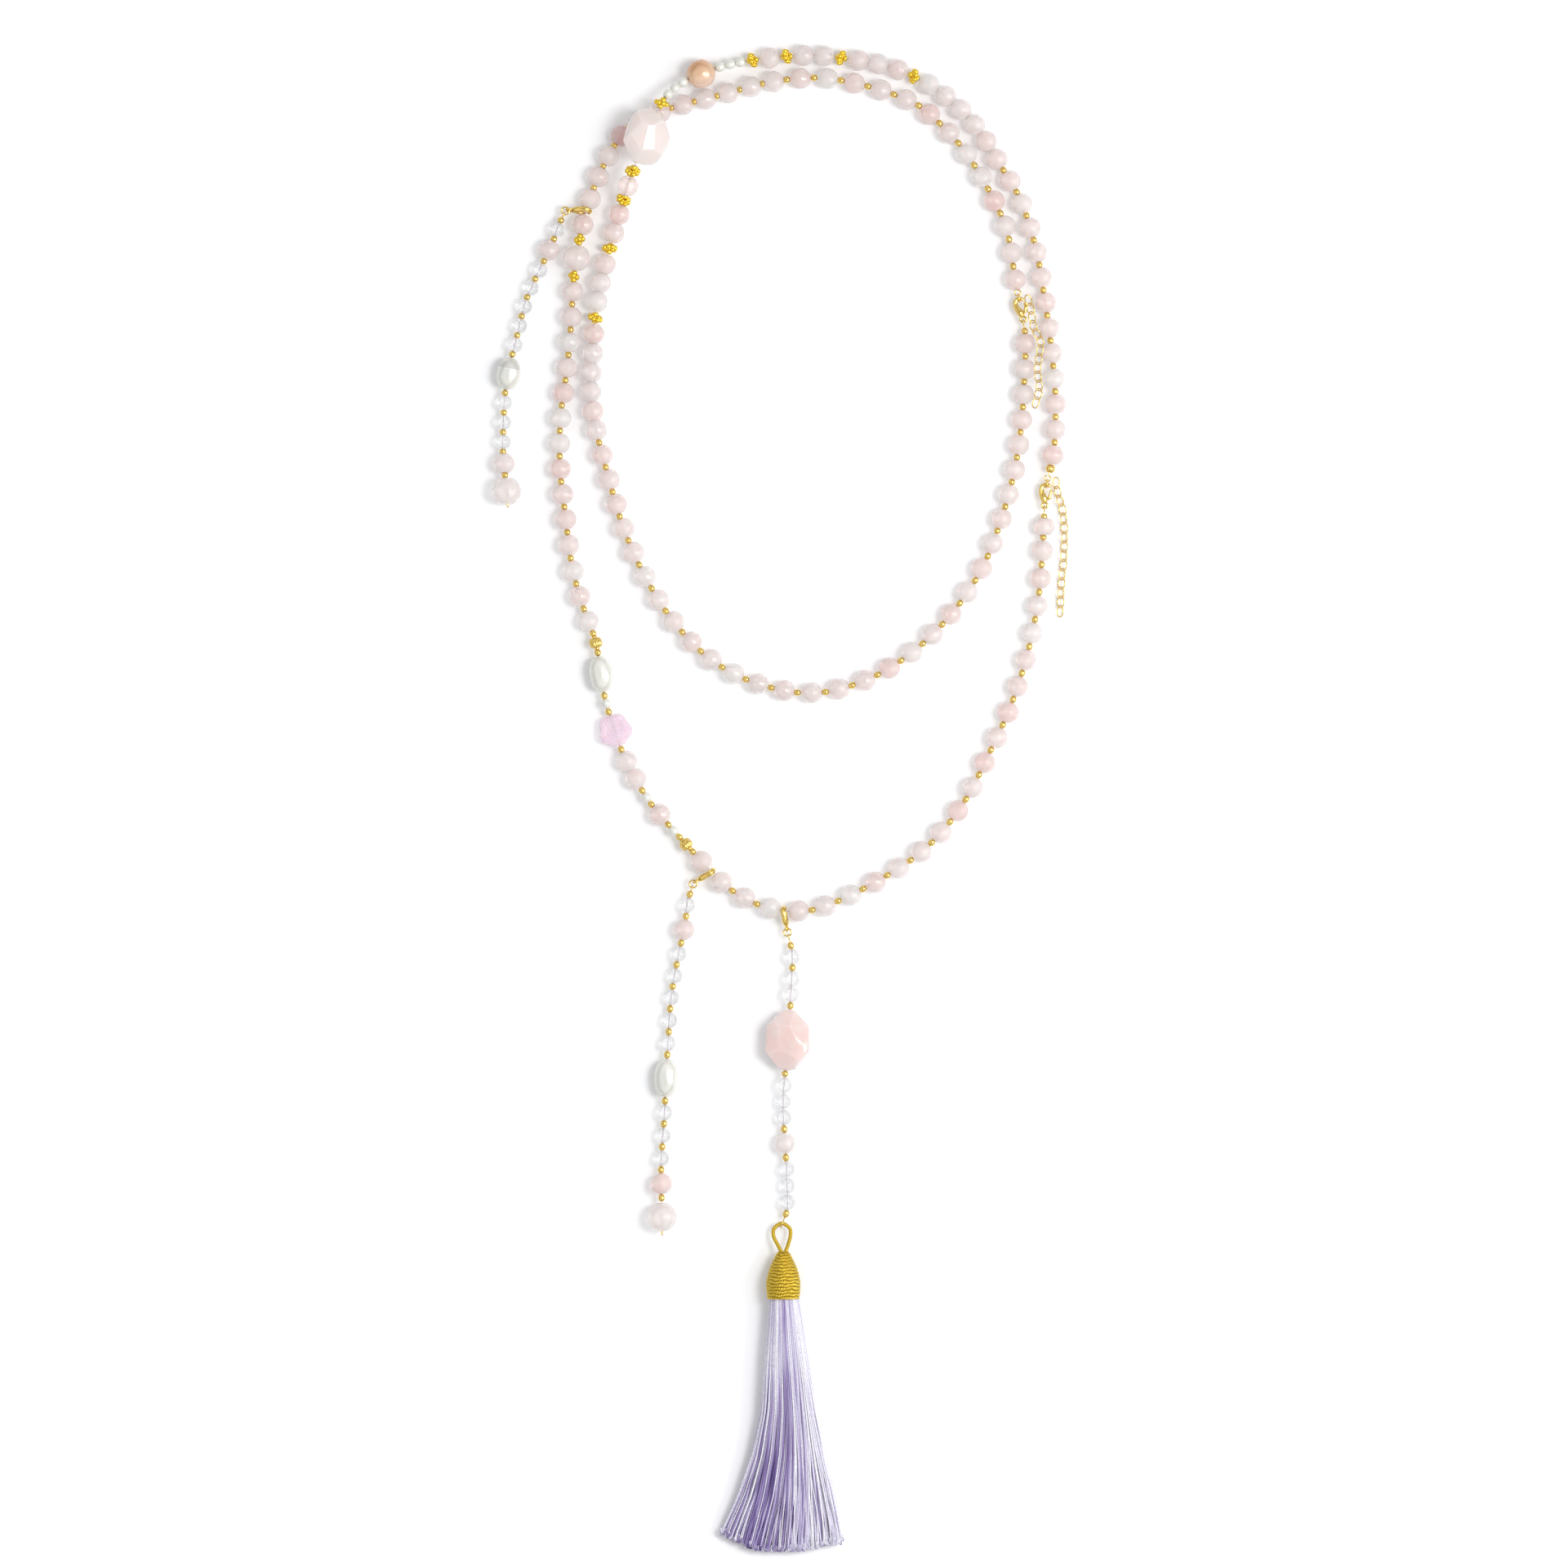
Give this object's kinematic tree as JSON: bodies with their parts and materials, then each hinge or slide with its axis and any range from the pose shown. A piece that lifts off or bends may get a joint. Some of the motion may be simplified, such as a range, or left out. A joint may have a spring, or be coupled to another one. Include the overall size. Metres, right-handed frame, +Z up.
{
  "type": "mala prayer beads",
  "caption": "Long double loop of rose quartz prayer beads on a thread, with gold spacers, lobster clasps, extender chains, three clip-on bead drops and a silk tassel.",
  "frame": {"origin": "middle of the whole object's bounding box, on the plane it lies on", "axes": "+Z up from the plane, +Y from the tassel to the top of the loops, +X to the right seen from above"},
  "size_m": [0.2119, 0.5533, 0.019],
  "materials": {
    "rose_quartz": "polished translucent pale pink stone",
    "clear_quartz": "polished clear stone with gold spacers",
    "star_glass": "moulded pink lavender glass",
    "ivory_pearl": "soft pearl lustre",
    "peach_pearl": "soft peach pearl lustre",
    "gold": "polished gold plate",
    "gold_cord": "twisted metallic gold thread",
    "lilac_silk": "loose twisted silk threads"
  },
  "bodies": {
    "upper_strands": {"outer_strand_1": "rose_quartz", "outer_strand_2": "rose_quartz", "outer_strand_3": "rose_quartz", "outer_strand_6": "rose_quartz", "inner_strand_1": "rose_quartz", "inner_strand_2": "rose_quartz", "inner_strand_3": "rose_quartz", "inner_strand_6": "rose_quartz", "nugget_strand": "rose_quartz", "strand_clasp_1_body": "gold", "strand_clasp_2_body": "gold", "strand_ring_1": "gold", "strand_ring_2": "gold", "drop_1_clasp_body": "gold"},
    "outer_lower": {"outer_strand_4": "rose_quartz", "outer_strand_5": "rose_quartz", "star": "star_glass", "drop_2_clasp_body": "gold", "drop_3_clasp_body": "gold"},
    "inner_lower": {"inner_strand_4": "rose_quartz", "inner_strand_5": "rose_quartz"},
    "drop_3_ring": {"drop_3_ring": "gold"},
    "drop_3_upper": {"drop_3_upper": "clear_quartz", "nugget_drop": "rose_quartz"},
    "drop_3_lower": {"drop_3_lower": "clear_quartz"},
    "drop_2_ring": {"drop_2_ring": "gold"},
    "drop_2_upper": {"drop_2_upper": "clear_quartz"},
    "drop_2_lower": {"drop_2_lower": "clear_quartz"},
    "drop_1_ring": {"drop_1_ring": "gold"},
    "drop_1_upper": {"drop_1_upper": "clear_quartz"},
    "drop_1_lower": {"drop_1_lower": "clear_quartz"},
    "tassel_loop": {"tassel_loop": "gold_cord"},
    "tassel": {"tassel_cap": "gold_cord", "tassel_skirt": "lilac_silk"},
    "chain_1_upper": {"chain_1_upper": "gold"},
    "chain_1_lower": {"chain_1_lower": "gold"},
    "chain_2_upper": {"chain_2_upper": "gold"},
    "chain_2_lower": {"chain_2_lower": "gold"},
    "strand_clasp_1_lever": {"strand_clasp_1_lever": "gold"},
    "strand_clasp_2_lever": {"strand_clasp_2_lever": "gold"},
    "drop_1_clasp_lever": {"drop_1_clasp_lever": "gold"},
    "drop_2_clasp_lever": {"drop_2_clasp_lever": "gold"},
    "drop_3_clasp_lever": {"drop_3_clasp_lever": "gold"},
    "peach_pearl": {"peach_pearl": "peach_pearl"},
    "rose_large": {"rose_large": "rose_quartz"},
    "rice_pearl_1": {"rice_pearl_1": "ivory_pearl"},
    "rice_pearl_2": {"rice_pearl_2": "ivory_pearl"},
    "rice_pearl_3": {"rice_pearl_3": "ivory_pearl"},
    "end_bead_1": {"end_bead_1": "rose_quartz"},
    "end_bead_2": {"end_bead_2": "rose_quartz"},
    "daisy_1": {"daisy_1": "gold"},
    "daisy_2": {"daisy_2": "gold"},
    "daisy_3": {"daisy_3": "gold"},
    "daisy_4": {"daisy_4": "gold"},
    "daisy_5": {"daisy_5": "gold"},
    "daisy_6": {"daisy_6": "gold"},
    "daisy_7": {"daisy_7": "gold"},
    "daisy_8": {"daisy_8": "gold"},
    "daisy_9": {"daisy_9": "gold"}
  },
  "joints": [
    {"name": "outer_fold", "type": "hinge", "parent": "upper_strands", "child": "outer_lower", "pos_m": [-0.07793, 0.09769, 0.004], "axis": [-0.9999, 0.0107, 0], "range_deg": [0, 60]},
    {"name": "inner_fold", "type": "hinge", "parent": "upper_strands", "child": "inner_lower", "pos_m": [-0.05552, 0.09462, 0.004], "axis": [-0.9997, -0.0263, 0], "range_deg": [0, 60]},
    {"name": "drop_3_lift", "type": "hinge", "parent": "drop_3_ring", "child": "drop_3_upper", "pos_m": [0.00327, -0.05056, 0.004], "axis": [-0.9703, -0.2419, 0], "range_deg": [0, 90]},
    {"name": "drop_2_lift", "type": "hinge", "parent": "drop_2_ring", "child": "drop_2_upper", "pos_m": [-0.03213, -0.03276, 0.004], "axis": [-0.9563, 0.2924, 0], "range_deg": [0, 90]},
    {"name": "drop_1_lift", "type": "hinge", "parent": "drop_1_ring", "child": "drop_1_upper", "pos_m": [-0.07921, 0.21435, 0.00401], "axis": [-0.9063, 0.4226, 0], "range_deg": [0, 90]},
    {"name": "tassel_lift", "type": "hinge", "parent": "tassel_loop", "child": "tassel", "pos_m": [0.0014, -0.1666, 0.00645], "axis": [-1, 0, 0], "range_deg": [0, 60]},
    {"name": "drop_3_swing", "type": "hinge", "parent": "outer_lower", "child": "drop_3_ring", "pos_m": [0.00284, -0.04876, 0.004], "axis": [0, 0, 1], "range_deg": [-12, 15]},
    {"name": "drop_2_swing", "type": "hinge", "parent": "outer_lower", "child": "drop_2_ring", "pos_m": [-0.03153, -0.03102, 0.004], "axis": [0, 0, 1], "range_deg": [-20, 10]},
    {"name": "drop_1_swing", "type": "hinge", "parent": "upper_strands", "child": "drop_1_ring", "pos_m": [-0.07826, 0.21589, 0.00401], "axis": [0, 0, -1], "range_deg": [0, 35]},
    {"name": "drop_3_bend", "type": "hinge", "parent": "drop_3_upper", "child": "drop_3_lower", "pos_m": [0.002, -0.10107, 0.00522], "axis": [0, 0, 1], "range_deg": [-15, 20]},
    {"name": "drop_2_bend", "type": "hinge", "parent": "drop_2_upper", "child": "drop_2_lower", "pos_m": [-0.0392, -0.06907, 0.00312], "axis": [0, 0, 1], "range_deg": [-25, 15]},
    {"name": "drop_1_bend", "type": "hinge", "parent": "drop_1_upper", "child": "drop_1_lower", "pos_m": [-0.0947, 0.17697, 0.00315], "axis": [0, 0, -1], "range_deg": [-6, 25]},
    {"name": "tassel_swing", "type": "hinge", "parent": "drop_3_lower", "child": "tassel_loop", "pos_m": [0.0009, -0.15605, 0.004], "axis": [0, 0, 1], "range_deg": [-15, 15]},
    {"name": "chain_1_lift", "type": "hinge", "parent": "upper_strands", "child": "chain_1_upper", "pos_m": [0.0909, 0.1842, 0.0076], "axis": [-0.9741, -0.2261, 0], "range_deg": [0, 80]},
    {"name": "chain_1_bend", "type": "hinge", "parent": "chain_1_upper", "child": "chain_1_lower", "pos_m": [0.09564, 0.16583, 0.00819], "axis": [-0.9994, 0.0349, 0], "range_deg": [0, 50]},
    {"name": "chain_2_swing", "type": "hinge", "parent": "upper_strands", "child": "chain_2_upper", "pos_m": [0.1013, 0.1174, 0.0036], "axis": [0, 0, 1], "range_deg": [0, 50]},
    {"name": "chain_2_bend", "type": "hinge", "parent": "chain_2_upper", "child": "chain_2_lower", "pos_m": [0.10463, 0.09755, 0.0018], "axis": [0, 0, 1], "range_deg": [-4, 40]},
    {"name": "strand_clasp_1_lever", "type": "hinge", "parent": "upper_strands", "child": "strand_clasp_1_lever", "pos_m": [0.08993, 0.17863, 0.004], "axis": [0, 0, 1], "range_deg": [0, 18], "stiffness_Nm_per_rad": 0.005, "springref_deg": -11.46},
    {"name": "strand_clasp_2_lever", "type": "hinge", "parent": "upper_strands", "child": "strand_clasp_2_lever", "pos_m": [0.09863, 0.11007, 0.004], "axis": [0, 0, 1], "range_deg": [0, 18], "stiffness_Nm_per_rad": 0.005, "springref_deg": -11.46},
    {"name": "drop_1_clasp_lever", "type": "hinge", "parent": "upper_strands", "child": "drop_1_clasp_lever", "pos_m": [-0.07451, 0.21569, 0.00296], "axis": [-0.0523, -0.9986, 0], "range_deg": [0, 18], "stiffness_Nm_per_rad": 0.005, "springref_deg": -11.46},
    {"name": "drop_2_clasp_lever", "type": "hinge", "parent": "outer_lower", "child": "drop_2_clasp_lever", "pos_m": [-0.02838, -0.02897, 0.00295], "axis": [0.5446, -0.8387, 0], "range_deg": [0, 18], "stiffness_Nm_per_rad": 0.005, "springref_deg": -11.46},
    {"name": "drop_3_clasp_lever", "type": "hinge", "parent": "outer_lower", "child": "drop_3_clasp_lever", "pos_m": [0.00232, -0.04505, 0.00295], "axis": [0.9903, 0.1392, 0], "range_deg": [0, 18], "stiffness_Nm_per_rad": 0.005, "springref_deg": -11.46},
    {"name": "peach_pearl_spin", "type": "hinge", "parent": "upper_strands", "child": "peach_pearl", "pos_m": [-0.02882, 0.26574, 0.00629], "axis": [-0.9014, -0.382, 0.2038], "continuous": true},
    {"name": "rose_large_spin", "type": "hinge", "parent": "upper_strands", "child": "rose_large", "pos_m": [-0.07452, 0.19829, 0.00509], "axis": [-0.1539, -0.987, -0.0451], "continuous": true},
    {"name": "rice_pearl_1_spin", "type": "hinge", "parent": "outer_lower", "child": "rice_pearl_1", "pos_m": [-0.06553, 0.04557, 0.00435], "axis": [0.1476, -0.9889, -0.0189], "continuous": true},
    {"name": "rice_pearl_2_spin", "type": "hinge", "parent": "drop_1_lower", "child": "rice_pearl_2", "pos_m": [-0.09951, 0.1559, 0.00434], "axis": [-0.1842, -0.9829, -0.0003], "continuous": true},
    {"name": "rice_pearl_3_spin", "type": "hinge", "parent": "drop_2_lower", "child": "rice_pearl_3", "pos_m": [-0.04166, -0.10261, 0.00441], "axis": [-0.0464, -0.9989, 0.0011], "continuous": true},
    {"name": "end_bead_1_spin", "type": "hinge", "parent": "drop_1_lower", "child": "end_bead_1", "pos_m": [-0.1002, 0.1126, 0.00558], "axis": [0.0869, -0.992, 0.0913], "continuous": true},
    {"name": "end_bead_2_spin", "type": "hinge", "parent": "drop_2_lower", "child": "end_bead_2", "pos_m": [-0.04319, -0.15362, 0.00564], "axis": [0.0158, -0.9974, 0.0709], "continuous": true},
    {"name": "daisy_1_spin", "type": "hinge", "parent": "upper_strands", "child": "daisy_1", "pos_m": [0.04929, 0.26499, 0.004], "axis": [-0.8973, 0.4413, 0], "continuous": true},
    {"name": "daisy_2_spin", "type": "hinge", "parent": "upper_strands", "child": "daisy_2", "pos_m": [0.02265, 0.27177, 0.004], "axis": [-0.9917, 0.1284, 0], "continuous": true},
    {"name": "daisy_3_spin", "type": "hinge", "parent": "upper_strands", "child": "daisy_3", "pos_m": [0.00263, 0.27232, 0.004], "axis": [-0.9979, -0.0649, 0], "continuous": true},
    {"name": "daisy_4_spin", "type": "hinge", "parent": "upper_strands", "child": "daisy_4", "pos_m": [-0.00989, 0.27091, 0.00399], "axis": [-0.988, -0.1543, 0.0004], "continuous": true},
    {"name": "daisy_5_spin", "type": "hinge", "parent": "upper_strands", "child": "daisy_5", "pos_m": [-0.04319, 0.2547, 0.0131], "axis": [-0.4518, -0.8439, 0.2894], "continuous": true},
    {"name": "daisy_6_spin", "type": "hinge", "parent": "upper_strands", "child": "daisy_6", "pos_m": [-0.05378, 0.22985, 0.01205], "axis": [-0.3475, -0.8623, -0.3683], "continuous": true},
    {"name": "daisy_7_spin", "type": "hinge", "parent": "upper_strands", "child": "daisy_7", "pos_m": [-0.05719, 0.21965, 0.0061], "axis": [-0.2616, -0.8516, -0.4543], "continuous": true},
    {"name": "daisy_8_spin", "type": "hinge", "parent": "upper_strands", "child": "daisy_8", "pos_m": [-0.06235, 0.2018, 0.00398], "axis": [-0.2657, -0.964, 0.0089], "continuous": true},
    {"name": "daisy_9_spin", "type": "hinge", "parent": "upper_strands", "child": "daisy_9", "pos_m": [-0.06767, 0.17635, 0.004], "axis": [-0.0979, -0.9952, 0], "continuous": true}
  ]
}
